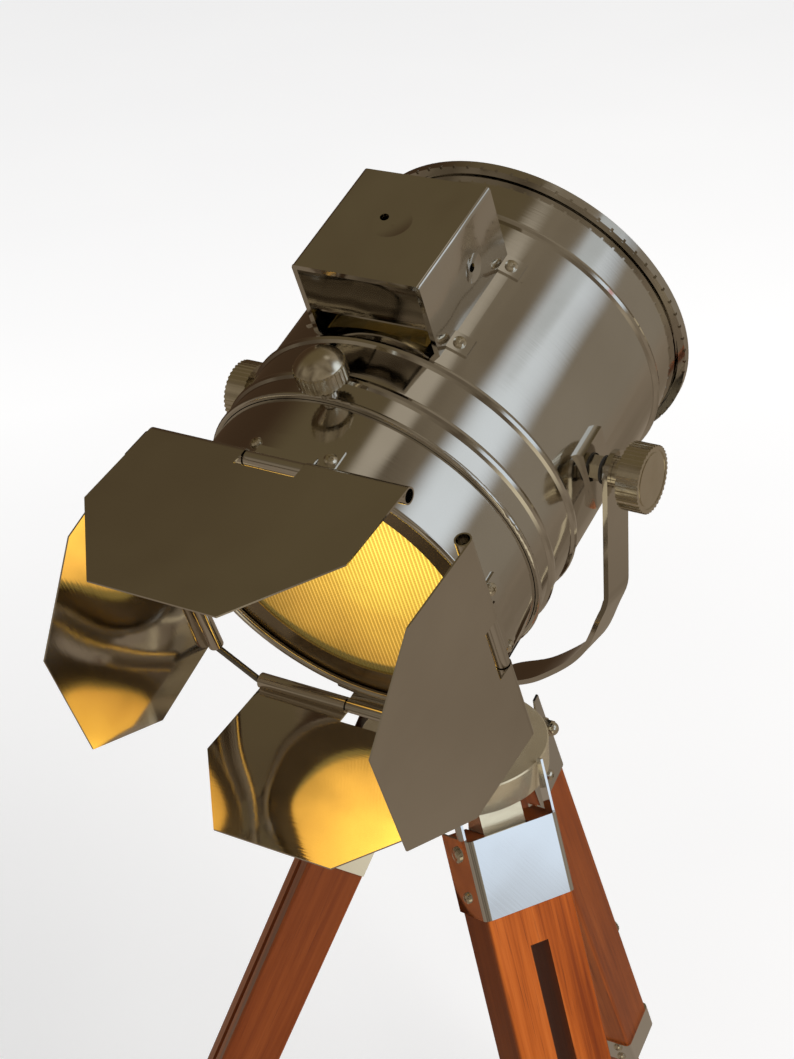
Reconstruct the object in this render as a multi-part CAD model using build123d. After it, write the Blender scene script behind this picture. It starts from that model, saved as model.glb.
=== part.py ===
from build123d import *
import math
import os

# Tripod spotlight: a drum lamp housing with barn doors, hung in a yoke on a wooden tripod.
# Millimetres. Origin on the floor under the tripod's axis, +Z up, the lamp's nose towards -Y.
# Head pieces are drawn level, with the tilt axis through the origin along X and the drum's
# axis along Y, and then tilted. Leg pieces are drawn in the leg's own frame: +X out of the
# outer face, +Y across the leg, +Z up the leg, with zero at the top of the hinge bracket.

# Clearances
RUN = 0.05
SEAT = 0.1
SLIP = 0.3

# Stance
TILT = 20.5
SPLAY = 23.4
LEG_AZIMUTHS = {"a": -151.5, "b": -31.5, "c": 92.4}
YOKE_DROP = 158.5
DISC_DROP = 206.0
DISC_R = 58.0
DISC_T = 18.0
BRACKET_R = 72.0
BRACKET_DROP = 4.0
FLOOR_V = 782.0

# Housing
DRUM_R = 100.0
DRUM_WALL = 1.2
DRUM_BACK = 105.0
DRUM_FRONT = -77.0
BEAD_H = 2.0
BEAD_W = 6.0
BEADS = (77.0, -32.5, -60.0)
LIP_R = 1.6
SEAM_ANGLE = 31.0
SEAM_Y = (-15.0, 44.0)
CAP_LIP = 5.5
CAP_RIM_L = 7.0
CAP_T = 1.5
CAP_SPIGOT = 12.0
CAP_NOTCHES = 72
CAP_NOTCH = 1.6

# Vent box on top and vent channel below
VENT_W = 78.0
VENT_Y = (-25.0, 55.0)
VENT_RISE = 40.0
VENT_T = 1.2
VENT_LIP = 3.0
VENT_TAB_W = 12.0
VENT_TAB_L = 11.0
VENT_TAB_Y = (-12.0, 49.0)
DIMPLE_R = 11.0
DIMPLE_D = 1.0
DIMPLE_HOLE_R = 2.5
DIMPLE_HOLE_SET = (-7.0, 4.0)
DIMPLE_Y = 17.0
SIDE_DIMPLE_Y = 23.0
SIDE_DIMPLE_DROP = 28.5
VENT_WINDOW = (62.0, 66.0)
VENT_WINDOW_SET = 2.0
BAFFLE_SET = 4.0
BAFFLE_GAP = 5.0
BAFFLE_TAB_L = 8.0
CHANNEL_W = 100.0
CHANNEL_Y = (-73.0, 100.0)
CHANNEL_DROP = 14.0
CHANNEL_WINDOW = (60.0, 60.0)

# Barrel, bezel and lens
BARREL_WALL = 1.0
BARREL_FRONT = -119.5
BARREL_BACK = -32.0
ROLL_R = 2.25
BEZEL_HOLE_R = 77.0
BEZEL_T = 1.5
BEZEL_CUP_GAP = 10.5
BEZEL_CUP_L = 9.0
LENS_T = 4.0
RETAINER_R = 1.2

# Barrel clamp screw
THUMB_Y = -72.0
THUMB_STEM_R = 3.0
THUMB_KNOB_R = 14.0
THUMB_SKIRT = 9.0
THUMB_DOME = 8.0
THUMB_GAP = 12.0
THUMB_CONE_H = 7.0
THUMB_CONE_R = (4.0, 11.0)
BOSS_R = 4.8
BOSS_H = 3.0

# Barn doors
HINGE_GAP = 3.5
HINGE_Y = -126.0
WIRE_R = 2.0
WIRE_TURN = 2.5
LEAF_W = 156.0
LEAF_FLAT = 58.0
LEAF_D = 110.0
LEAF_TIP_W = 76.0
LEAF_T = 1.0
LEAF_TUBE_R = 4.6
LEAF_MOUTH_R = 3.7
LEAF_MOUTH_L = 12.0
LEAF_ANGLES = {"top": 7.6, "right": -4.0, "bottom": -10.5, "left": -3.0}
LEAF_TURNS = {"top": 0.0, "right": 90.0, "bottom": 180.0, "left": 270.0}
KNUCKLE_L = 35.2
KNUCKLE_R = 4.0
KNUCKLE_GAP = 0.7
CLIP_W = 54.0
CLIP_T = 1.2
CLIP_L = 15.5
CLIP_SCREW_X = 22.5
CLIP_SCREW_SET = 8.0

# Fasteners
SCREW_HEAD_R = 3.5
SCREW_HEAD_H = 2.2
SCREW_SHANK_R = 1.9
SCREW_BITE = 6.0

# Pivot hardware
PIVOT_PLATE_L = 23.0
PIVOT_PLATE_W = 42.0
PIVOT_PLATE_T = 2.0
STUD_R = 4.0
STUD_HEAD_R = 8.0
STUD_HEAD_H = 4.5
NUT_AF = 13.0
NUT_T = 3.2
WASHER_R = 8.0
WASHER_T = 1.4
KNOB_HUB_R = 8.75
KNOB_HUB_L = 7.5
KNOB_R = 19.0
KNOB_L = 13.0
KNOB_RIBS = 40

# Yoke and pan bearing
YOKE_W = 25.0
YOKE_T = 3.0
YOKE_FLAT = 16.0
YOKE_STRAIGHT = 70.0
PAN_R = 6.0
PAN_HEAD_R = 13.0
PAN_HEAD_H = 3.2
PAN_NUT_AF = 19.0
PAN_NUT_T = 9.0
POST_R = 14.0
POST_FOOT_R = 30.0
POST_FOOT_H = 6.0
PAN_WASHER_R = 13.5
PAN_WASHER_T = 2.0

# Lamp
BULB_R = 30.0
BULB_Y = 12.0
HOLDER_R = 20.0
HOLDER_Y = (50.0, 84.0)
LAMP_POST_R = 9.0
LAMP_FOOT_R = 24.0
LAMP_FOOT_T = 3.0
REFLECTOR_R = 84.0
REFLECTOR_Y = (14.0, 60.0)
REFLECTOR_T = 1.0
GLAND_DROP = 62.0
GLAND_R = 8.0
GLAND_AF = 20.0

# Legs
LEG_W = 58.0
LEG_T = 35.0
LEG_TOP_V = 2.0
LEG_END_V = 412.0
SLOT_W = 12.0
SLOT_V = 72.0
PLATE_T = 1.5
BRACKET_L = 49.0
BRACKET_BEND = 4.0
EAR_RISE = 32.0
EAR_DEPTH = 10.0
EAR_TIP = 5.0
EAR_TAPER = 20.0
HINGE_V = 10.0
HINGE_BOLT_R = 3.0
PIN_HEAD_R = 5.0
PIN_HEAD_H = 2.4
LUG_W = 28.0
LUG_R = 7.5
LUG_BACK_R = 42.0
NOTCH_D = 17.0
SIDE_SCREW_V = 37.0
BAND_V = 384.0
BAND_SCREW_U = 20.0
BAND_SCREW_V = (390.0, 405.0)
INNER_ROUND = 1.2
INNER_RISE = 14.0
INNER_END_GAP = 14.0
CLAMP_V = 302.0
CLAMP_R = 3.0
CLAMP_HEAD_R = 9.0
CLAMP_HEAD_H = 3.5
CLAMP_OUT = 12.0
CLAMP_KNOB_R = 15.0
CLAMP_KNOB_L = 22.0
CLAMP_FLANGE_T = 3.0
FOOT_WALL = 4.0
FOOT_H = 30.0

# Stud with a domed nut through one ear of leg c
CAPPED_LEG = "c"
EAR_STUD_UP = 4.0
EAR_STUD_R = 2.5
EAR_HEAD_T = 1.0
EAR_WASHER_R = 6.0
EAR_WASHER_T = 1.2
EAR_NUT_AF = 10.0
EAR_NUT_T = 4.3
EAR_DOME_R = 4.6

# Derived places
S = math.sin(math.radians(SPLAY))
C = math.cos(math.radians(SPLAY))
LEG_BACK = PLATE_T + LEG_T
LEG_MID = PLATE_T + LEG_T / 2
LEG_ROUND = BRACKET_BEND - PLATE_T
INNER_FACE = PLATE_T + SLIP
INNER_BACK = LEG_BACK - SLIP
INNER_TOP_V = CLAMP_V - INNER_RISE
DISC_BOTTOM = DISC_DROP + DISC_T
BRACKET_Z = FLOOR_V * C + LEG_MID * S
PIVOT_Z = BRACKET_Z + DISC_BOTTOM + BRACKET_DROP
DRUM_BORE = DRUM_R - DRUM_WALL
BARREL_R = DRUM_BORE - SLIP
BARREL_BORE = BARREL_R - BARREL_WALL
VENT_TOP = DRUM_R + VENT_RISE
SIDE_DIMPLE_Z = VENT_TOP - SIDE_DIMPLE_DROP
CHANNEL_BOTTOM = DRUM_R + CHANNEL_DROP
HINGE_OUT = BARREL_R + HINGE_GAP
BEZEL_CUP_R = BARREL_BORE - BEZEL_CUP_GAP
BEZEL_FRONT = BARREL_FRONT + 2 * ROLL_R + SEAT
BEZEL_BACK = BEZEL_FRONT + BEZEL_T
LENS_R = BEZEL_CUP_R - BEZEL_T - SEAT
LENS_BACK = BEZEL_BACK + LENS_T
CLIP_BACK = BARREL_FRONT + 0.5 + CLIP_L
CLIP_R = BARREL_R + SEAT / 2
CLIP_TOP_R = CLIP_R + CLIP_T
PLATE_FACE = DRUM_R + PIVOT_PLATE_T
NUT1_FACE = PLATE_FACE + NUT_T
WASHER_FACE = NUT1_FACE + WASHER_T
NUT2_FACE = WASHER_FACE + NUT_T
ARM_IN = NUT2_FACE + SLIP
ARM_OUT = ARM_IN + YOKE_T
KNOB_IN = ARM_OUT + SEAT
KNOB_MID = KNOB_IN + KNOB_HUB_L
KNOB_OUT = KNOB_MID + KNOB_L
POST_TOP = YOKE_DROP + SEAT + PAN_WASHER_T

HEAD = Pos(0, 0, PIVOT_Z) * Rot(TILT, 0, 0)
YOKE = Pos(0, 0, PIVOT_Z)


def leg_frame(azimuth):
    return Rot(0, 0, azimuth) * Pos(BRACKET_R, 0, BRACKET_Z) * Rot(0, -SPLAY, 0)


def block(x0, x1, y0, y1, z0, z1):
    middle = Pos((x0 + x1) / 2, (y0 + y1) / 2, (z0 + z1) / 2)
    return middle * Box(abs(x1 - x0), abs(y1 - y0), abs(z1 - z0))


def rod_x(r, x0, x1, y=0.0, z=0.0):
    return Pos((x0 + x1) / 2, y, z) * Rot(0, 90, 0) * Cylinder(r, abs(x1 - x0))


def rod_y(r, y0, y1, x=0.0, z=0.0):
    return Pos(x, (y0 + y1) / 2, z) * Rot(90, 0, 0) * Cylinder(r, abs(y1 - y0))


def rod_z(r, z0, z1, x=0.0, y=0.0):
    return Pos(x, y, (z0 + z1) / 2) * Cylinder(r, abs(z1 - z0))


def tube_y(outer, inner, y0, y1):
    return rod_y(outer, y0, y1) - rod_y(inner, y0 - 1, y1 + 1)


def turn_y(points):
    # A closed outline of radius and y pairs, turned about the Y axis.
    outline = make_face(Polyline(*[(r, y) for r, y in points], close=True))
    return revolve(outline, Axis.Y, 360)


def turn_z(points):
    # A closed outline of radius and z pairs, turned about the Z axis.
    outline = make_face(Plane.XZ * Polyline(*[(r, z) for r, z in points], close=True))
    return revolve(outline, Axis.Z, 360)


def hex_x(across, x0, x1, y=0.0, z=0.0):
    outline = Plane.YZ * RegularPolygon(across / 2, 6, major_radius=False)
    return Pos(x0, y, z) * extrude(outline, x1 - x0, dir=(1, 0, 0))


def hex_y(across, y0, y1, x=0.0, z=0.0):
    outline = Plane.XZ * RegularPolygon(across / 2, 6, major_radius=False)
    return Pos(x, y0, z) * extrude(outline, y1 - y0, dir=(0, 1, 0))


def hex_z(across, z0, z1):
    outline = RegularPolygon(across / 2, 6, major_radius=False)
    return Pos(0, 0, z0) * extrude(outline, z1 - z0)


def ribbed(r, count, depth, length):
    # A knurled cylinder along Z from zero, with straight grooves round its side.
    body = Pos(0, 0, length / 2) * Cylinder(r, length)
    width = math.pi * r / count
    groove = Box(2 * depth, width, length + 2)
    cuts = [
        Rot(0, 0, 360 * i / count) * Pos(r, 0, length / 2) * groove
        for i in range(count)
    ]
    return body - cuts


def low_dome(r, height):
    # A pan head along Z from zero.
    return turn_z([
        (0, 0), (r, 0), (r, height * 0.45), (r * 0.72, height * 0.88), (r * 0.3, height), (0, height),
    ])


def pan_screw(reach):
    # A pan-head screw along Z: the head above zero and the shank below.
    head = low_dome(SCREW_HEAD_R, SCREW_HEAD_H)
    slots = [
        Rot(0, 0, turn) * Pos(0, 0, SCREW_HEAD_H) * Box(SCREW_HEAD_R, 0.7, SCREW_HEAD_H * 0.8)
        for turn in (0, 90)
    ]
    return head - slots + rod_z(SCREW_SHANK_R, -reach, 0)


def save(name, shapes):
    # Writes one node, which may hold several separate solids.
    solids = []
    for shape in shapes:
        solids.extend(shape.solids())
    node = solids[0] if len(solids) == 1 else Compound(children=solids)
    export_step(node, os.path.join("parts", name + ".step"))


def drum_envelope():
    # The drum's full outer shape, filled, with its pressed beads.
    shape = rod_y(DRUM_R, DRUM_FRONT, DRUM_BACK)
    for y in BEADS:
        shape += turn_y([
            (0, y - BEAD_W / 2),
            (DRUM_R, y - BEAD_W / 2),
            (DRUM_R + BEAD_H * 0.7, y - BEAD_W * 0.28),
            (DRUM_R + BEAD_H, y),
            (DRUM_R + BEAD_H * 0.7, y + BEAD_W * 0.28),
            (DRUM_R, y + BEAD_W / 2),
            (0, y + BEAD_W / 2),
        ])
    return shape


def drum_shell():
    shape = drum_envelope()
    ring = Pos(0, DRUM_FRONT + LIP_R, 0) * Rot(90, 0, 0) * Torus(DRUM_R, LIP_R)
    shape += ring
    shape += Pos(0, THUMB_Y, 0) * rod_z(BOSS_R, DRUM_R - DRUM_WALL, DRUM_R + BOSS_H)
    shape -= rod_y(DRUM_BORE, DRUM_FRONT - 5, DRUM_BACK + 5)
    shape -= Pos(0, THUMB_Y, 0) * rod_z(THUMB_STEM_R + RUN, 0, DRUM_R * 2)
    seam = block(-0.5, 0.5, SEAM_Y[0], SEAM_Y[1], DRUM_R - DRUM_WALL / 3, DRUM_R + 2)
    shape -= Rot(0, SEAM_ANGLE, 0) * seam
    start = VENT_Y[0] + VENT_WINDOW_SET
    half_x = VENT_WINDOW[0] / 2
    shape -= block(-half_x, half_x, start, start + VENT_WINDOW[1], 0, DRUM_R * 2)
    middle = sum(CHANNEL_Y) / 2
    half_x = CHANNEL_WINDOW[0] / 2
    half_y = CHANNEL_WINDOW[1] / 2
    shape -= block(-half_x, half_x, middle - half_y, middle + half_y, -DRUM_R * 2, 0)
    for side in (-1, 1):
        shape -= rod_x(STUD_R + RUN, 0, side * DRUM_R * 2)
        for y in VENT_TAB_Y:
            turn = side * vent_tab_angle()
            shape -= Rot(0, turn, 0) * rod_z(SCREW_SHANK_R + RUN, 0, DRUM_R * 2, 0, y)
    return shape


def rear_cap():
    rim = DRUM_R + CAP_LIP
    back = DRUM_BACK + CAP_RIM_L
    spigot = DRUM_BORE - SEAT
    front = DRUM_BACK + SLIP
    shape = turn_y([
        (0, back - CAP_T),
        (spigot - CAP_T, back - CAP_T),
        (spigot - CAP_T, DRUM_BACK - CAP_SPIGOT),
        (spigot, DRUM_BACK - CAP_SPIGOT),
        (spigot, front + 2 * CAP_T),
        (DRUM_R + CAP_LIP * 0.2, front + 2 * CAP_T),
        (DRUM_R + CAP_LIP * 0.2, front),
        (rim, front),
        (rim, back - CAP_T),
        (rim - CAP_T, back),
        (0, back),
    ])
    notch = Box(2 * CAP_T, CAP_RIM_L * 0.45, CAP_NOTCH)
    cuts = [
        Rot(0, 360 * i / CAP_NOTCHES, 0) * Pos(rim, front, 0) * notch
        for i in range(CAP_NOTCHES)
    ]
    shape -= cuts
    shape -= rod_y(GLAND_R + RUN, back - 10, back + 10, 0, -GLAND_DROP)
    return shape


def vent_tab_angle():
    # The turn from the drum's top to the middle of a vent tab.
    edge = math.degrees(math.asin(VENT_W / 2 / DRUM_R))
    return edge + math.degrees(VENT_TAB_L / 2 / DRUM_R) - 0.4


def dimple(r):
    # A shallow dished cut, facing up, with its rim on zero.
    ball = (r * r + DIMPLE_D * DIMPLE_D) / (2 * DIMPLE_D)
    return Pos(0, 0, ball - DIMPLE_D) * Sphere(ball)


def vent_box():
    half = VENT_W / 2
    y0, y1 = VENT_Y
    outer = block(-half, half, y0, y1, 0, VENT_TOP)
    outer = fillet(outer.edges().filter_by(Axis.Y).group_by(Axis.Z)[-1], 2.5)
    inner = block(
        -half + VENT_T, half - VENT_T, y0 - 1, y1 - VENT_T, -1, VENT_TOP - VENT_T
    )
    shape = outer - inner
    lip = block(-half + VENT_T / 2, half - VENT_T / 2, y0, y0 + VENT_T, 0, VENT_TOP - VENT_T / 2)
    gap = block(-half + VENT_LIP, half - VENT_LIP, y0 - 1, y1, -1, VENT_TOP - VENT_LIP)
    shape += lip - gap
    for side in (-1, 1):
        for y in VENT_TAB_Y:
            ring = tube_y(DRUM_R + VENT_T, DRUM_R, y - VENT_TAB_W / 2, y + VENT_TAB_W / 2)
            reach = half + VENT_TAB_L
            near = half - VENT_T / 2
            ring &= block(side * near, side * reach, y - 20, y + 20, 0, DRUM_R * 2)
            shape += ring
            pad = Pos(side * (half - VENT_T - 0.1), SIDE_DIMPLE_Y, SIDE_DIMPLE_Z)
            shape += pad * Rot(0, side * 90, 0) * Cylinder(DIMPLE_R * 0.75, VENT_T)
            hole = Rot(0, side * vent_tab_angle(), 0)
            shape -= hole * rod_z(SCREW_SHANK_R + RUN, 0, DRUM_R * 2, 0, y)
    shape += Pos(0, DIMPLE_Y, VENT_TOP - VENT_T - 0.1) * Cylinder(DIMPLE_R, VENT_T)
    shape -= Pos(0, DIMPLE_Y, VENT_TOP) * dimple(DIMPLE_R)
    hole_x, hole_y = DIMPLE_HOLE_SET
    shape -= rod_z(DIMPLE_HOLE_R, VENT_TOP - 10, VENT_TOP + 5, hole_x, DIMPLE_Y + hole_y)
    for side in (-1, 1):
        face = Pos(side * half, SIDE_DIMPLE_Y, SIDE_DIMPLE_Z) * Rot(0, side * 90, 0)
        shape -= face * dimple(DIMPLE_R * 0.75)
        shape -= face * Cylinder(DIMPLE_HOLE_R, 12)
    return shape - drum_envelope()


def vent_baffle():
    # A sheet that curves back and up behind the vent box's open front, hung from its roof.
    half = VENT_W / 2 - VENT_T - SEAT
    y = VENT_Y[0] + BAFFLE_SET
    roof = VENT_TOP - VENT_T
    r = roof - DRUM_R - BAFFLE_GAP
    pipe = rod_x(r, -half, half, y, roof) - rod_x(r - VENT_T, -half - 1, half + 1, y, roof)
    bend = pipe & block(-half, half, y, y + r, roof - r, roof)
    tab = block(-half, half, y + r - VENT_T, y + r + BAFFLE_TAB_L, roof - VENT_T, roof)
    return bend + tab - rod_z(DIMPLE_R + SLIP, roof - 2 * VENT_T, roof + 1, 0, DIMPLE_Y)


def bottom_vent():
    half = CHANNEL_W / 2
    y0, y1 = CHANNEL_Y
    outer = block(-half, half, y0, y1, -CHANNEL_BOTTOM, 0)
    inner = block(
        -half + VENT_T, half - VENT_T, y0 - 1, y1 + 1, -CHANNEL_BOTTOM + VENT_T, 1
    )
    front_lip = DRUM_FRONT + LIP_R
    shape = outer - inner - drum_envelope()
    shape -= block(-half - 1, half + 1, y0 - 9, front_lip, -CHANNEL_BOTTOM - 9, 0)
    return shape - block(-half - 1, half + 1, y0 - 1, y1 + 1, -DRUM_R * 0.7, 1)


def vent_screws():
    screw = pan_screw(SCREW_BITE)
    return [
        Rot(0, side * vent_tab_angle(), 0) * Pos(0, y, DRUM_R + VENT_T) * screw
        for side in (-1, 1)
        for y in VENT_TAB_Y
    ]


def pivot_plates():
    plates = []
    for side in (-1, 1):
        plate = block(
            side * DRUM_R * 0.9, side * PLATE_FACE,
            -PIVOT_PLATE_L / 2, PIVOT_PLATE_L / 2, -PIVOT_PLATE_W / 2, PIVOT_PLATE_W / 2,
        )
        plate -= rod_y(DRUM_R, DRUM_FRONT, DRUM_BACK)
        plates.append(plate - rod_x(STUD_R + RUN, 0, side * DRUM_R * 2))
    return plates


def pivot_studs():
    seat = math.sqrt(DRUM_BORE ** 2 - STUD_HEAD_R ** 2) - SEAT
    studs = []
    for side in (-1, 1):
        head = rod_x(STUD_HEAD_R, side * (seat - STUD_HEAD_H), side * seat)
        studs.append(head + rod_x(STUD_R, side * seat, side * (KNOB_OUT - KNOB_L / 2)))
    return studs


def pivot_nuts():
    nuts = []
    for side in (-1, 1):
        for face in (PLATE_FACE, WASHER_FACE):
            ends = sorted((side * face, side * (face + NUT_T)))
            nut = hex_x(NUT_AF, ends[0], ends[1])
            nuts.append(nut - rod_x(STUD_R + RUN, 0, side * DRUM_R * 2))
    return nuts


def pivot_washers():
    return [
        rod_x(WASHER_R, side * NUT1_FACE, side * WASHER_FACE)
        - rod_x(STUD_R + RUN, 0, side * DRUM_R * 2)
        for side in (-1, 1)
    ]


def tilt_knob():
    # Drawn along +Z from the yoke arm's face.
    hub = ribbed(KNOB_HUB_R, KNOB_RIBS // 2, 0.5, KNOB_HUB_L)
    disc = Pos(0, 0, KNOB_HUB_L) * ribbed(KNOB_R, KNOB_RIBS, 0.7, KNOB_L)
    face = Pos(0, 0, KNOB_HUB_L + KNOB_L - 0.6) * Cylinder(
        KNOB_R - 2.5, 1.2, align=(Align.CENTER, Align.CENTER, Align.MIN)
    )
    ring = Pos(0, 0, KNOB_HUB_L + KNOB_L - 0.6) * Cylinder(
        KNOB_R - 4.0, 1.2, align=(Align.CENTER, Align.CENTER, Align.MIN)
    )
    bore = rod_z(STUD_R + RUN, -1, KNOB_HUB_L + KNOB_L / 2 + 1)
    return hub + disc - (face - ring) - bore


def thumb_screw():
    # Radial, on top of the front band, its tip just off the barrel.
    tip = BARREL_R + SLIP
    base = DRUM_R + THUMB_GAP
    stem = rod_z(THUMB_STEM_R, tip, base + 2)
    skirt = Pos(0, 0, base) * ribbed(THUMB_KNOB_R, 30, 0.6, THUMB_SKIRT)
    dome_r = (THUMB_KNOB_R ** 2 + THUMB_DOME ** 2) / (2 * THUMB_DOME)
    top = base + THUMB_SKIRT + THUMB_DOME
    dome = Pos(0, 0, top - dome_r) * Sphere(dome_r)
    dome &= rod_z(THUMB_KNOB_R - 0.7, base + THUMB_SKIRT - 1, top + 1)
    near, far = THUMB_CONE_R
    cone = turn_z([(0, base - THUMB_CONE_H), (near, base - THUMB_CONE_H), (far, base + 1), (0, base + 1)])
    return Pos(0, THUMB_Y, 0) * (stem + skirt + dome + cone)


def barrel():
    shape = tube_y(BARREL_R, BARREL_BORE, BARREL_FRONT + ROLL_R, BARREL_BACK)
    centre = BARREL_R - ROLL_R
    roll = Pos(0, BARREL_FRONT + ROLL_R, 0) * Rot(90, 0, 0) * Torus(centre, ROLL_R)
    shape += roll
    for turn in LEAF_TURNS.values():
        for side in (-1, 1):
            shape -= clip_screw_place(turn, side) * rod_z(SCREW_SHANK_R + RUN, -20, 5)
    return shape


def bezel_ring():
    outer = BARREL_BORE - SEAT
    back = BEZEL_BACK + BEZEL_CUP_L
    return turn_y([
        (BEZEL_HOLE_R, BEZEL_FRONT),
        (outer, BEZEL_FRONT),
        (outer, BEZEL_BACK),
        (BEZEL_CUP_R, BEZEL_BACK),
        (BEZEL_CUP_R, back),
        (BEZEL_CUP_R - BEZEL_T, back),
        (BEZEL_CUP_R - BEZEL_T, BEZEL_BACK),
        (BEZEL_HOLE_R, BEZEL_BACK),
    ])


def lens():
    return rod_y(LENS_R, BEZEL_BACK + SEAT, LENS_BACK + SEAT)


def lens_retainer():
    centre = BEZEL_CUP_R - BEZEL_T - RETAINER_R - RUN
    return Pos(0, LENS_BACK + 2 * SEAT + RETAINER_R, 0) * Rot(90, 0, 0) * Torus(centre, RETAINER_R)


def hinge_frame():
    # The wire that carries the doors: four hinge lines joined by slanted corners. Its two
    # ends lie inside the hinge tubes of the top and right doors, so that corner is open.
    half = LEAF_W / 2 + WIRE_TURN
    end = LEAF_W / 2 - LEAF_MOUTH_L - 1
    corners = [
        (HINGE_OUT, end), (HINGE_OUT, -half), (half, -HINGE_OUT), (-half, -HINGE_OUT),
        (-HINGE_OUT, -half), (-HINGE_OUT, half), (-half, HINGE_OUT), (end, HINGE_OUT),
    ]
    shape = None
    for (x, z), (x2, z2) in zip(corners, corners[1:]):
        a = Vector(x, HINGE_Y, z)
        b = Vector(x2, HINGE_Y, z2)
        run = Plane(origin=a, z_dir=b - a) * Cylinder(
            WIRE_R, (b - a).length, align=(Align.CENTER, Align.CENTER, Align.MIN)
        )
        shape = run if shape is None else shape + run + Pos(x, HINGE_Y, z) * Sphere(WIRE_R)
    return shape


def clip_screw_place(turn, side):
    # On the barrel, beside a hinge clip's middle, with Z pointing outwards.
    angle = math.degrees(math.asin(CLIP_SCREW_X / BARREL_R))
    y = BARREL_FRONT + CLIP_SCREW_SET
    return Rot(0, turn + side * angle, 0) * Pos(0, y, CLIP_TOP_R)


def hinge_clips():
    clips = []
    for turn in LEAF_TURNS.values():
        sheet = tube_y(CLIP_TOP_R, CLIP_R, BARREL_FRONT + 0.5, CLIP_BACK)
        sheet &= block(-CLIP_W / 2, CLIP_W / 2, BARREL_FRONT, 0, 0, DRUM_R * 2)
        half = KNUCKLE_L / 2
        neck = block(
            -half, half, HINGE_Y, BARREL_FRONT + CLIP_L / 3,
            CLIP_R + 0.3, CLIP_TOP_R + 0.3,
        )
        knuckle = rod_x(KNUCKLE_R, -half, half, HINGE_Y, HINGE_OUT)
        clip = sheet + neck + knuckle
        clip -= rod_x(WIRE_R + RUN, -half - 1, half + 1, HINGE_Y, HINGE_OUT)
        clip = Rot(0, turn, 0) * clip
        for side in (-1, 1):
            clip -= clip_screw_place(turn, side) * rod_z(SCREW_SHANK_R + RUN, -20, 5)
        clips.append(clip)
    return clips


def clip_screws():
    screw = pan_screw(SCREW_BITE)
    return [
        clip_screw_place(turn, side) * screw
        for turn in LEAF_TURNS.values()
        for side in (-1, 1)
    ]


def leaf():
    # Hinge axis along X through the origin, the leaf towards -Y, outer side up.
    half = LEAF_W / 2
    tip = LEAF_TIP_W / 2
    top = LEAF_TUBE_R
    outline = make_face(Polyline(
        (-half, 0), (half, 0), (half, -LEAF_FLAT), (tip, -LEAF_D),
        (-tip, -LEAF_D), (-half, -LEAF_FLAT), close=True,
    ))
    plate = Pos(0, 0, top - LEAF_T) * extrude(outline, LEAF_T)
    tube = rod_x(LEAF_TUBE_R, -half, half)
    shape = plate + tube
    gap = KNUCKLE_L / 2 + KNUCKLE_GAP
    depth = 2 * LEAF_TUBE_R + 1
    shape -= block(-gap, gap, -depth, depth, -depth, depth)
    shape -= rod_x(WIRE_R + RUN, -half - 1, half + 1)
    for side in (-1, 1):
        shape -= rod_x(LEAF_MOUTH_R, side * (half - LEAF_MOUTH_L), side * (half + 1))
    return shape


def place_leaf(name):
    place = Rot(0, LEAF_TURNS[name], 0) * Pos(0, HINGE_Y, HINGE_OUT)
    return place * Rot(-LEAF_ANGLES[name], 0, 0) * leaf()


def lamp_holder():
    base = DRUM_BACK + CAP_RIM_L - CAP_T
    body = rod_y(HOLDER_R, HOLDER_Y[0], HOLDER_Y[1])
    body -= rod_y(BULB_R * 0.44 + SEAT, HOLDER_Y[0] - 1, HOLDER_Y[0] + 24)
    post = rod_y(LAMP_POST_R, HOLDER_Y[1] - 1, base)
    foot = rod_y(LAMP_FOOT_R, base - LAMP_FOOT_T, base)
    return body + post + foot


def bulb():
    neck = BULB_R * 0.44
    end = HOLDER_Y[0] + 22
    shape = Pos(0, BULB_Y, 0) * Sphere(BULB_R)
    shape += rod_y(neck, BULB_Y, end)
    shoulder = BULB_Y + BULB_R * 0.9
    start = BULB_Y + BULB_R * 0.55
    cone = turn_y([(0, start), (BULB_R * 0.83, start), (neck, shoulder + 4), (0, shoulder + 4)])
    return shape + cone


def reflector():
    # A dished mirror behind the bulb, seated on the holder's collar.
    hole = HOLDER_R + RUN
    y0, y1 = REFLECTOR_Y
    outer = []
    inner = []
    steps = 8
    for i in range(steps + 1):
        t = i / steps
        r = hole + (REFLECTOR_R - hole) * t
        y = y1 - (y1 - y0) * t ** 1.7
        inner.append((r, y))
        outer.append((r, y + REFLECTOR_T))
    return turn_y(inner + outer[::-1])


def cable_gland():
    back = DRUM_BACK + CAP_RIM_L
    body = hex_y(GLAND_AF, back, back + 5, 0, -GLAND_DROP)
    dome = rod_y(GLAND_R * 1.15, back + 5, back + 15, 0, -GLAND_DROP)
    tail = rod_y(GLAND_R, back - 9, back + 1, 0, -GLAND_DROP)
    nut = hex_y(GLAND_AF, back - CAP_T - 4, back - CAP_T, 0, -GLAND_DROP)
    return body + dome + tail + nut - rod_y(GLAND_R * 0.45, back - 20, back + 30, 0, -GLAND_DROP)


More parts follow.
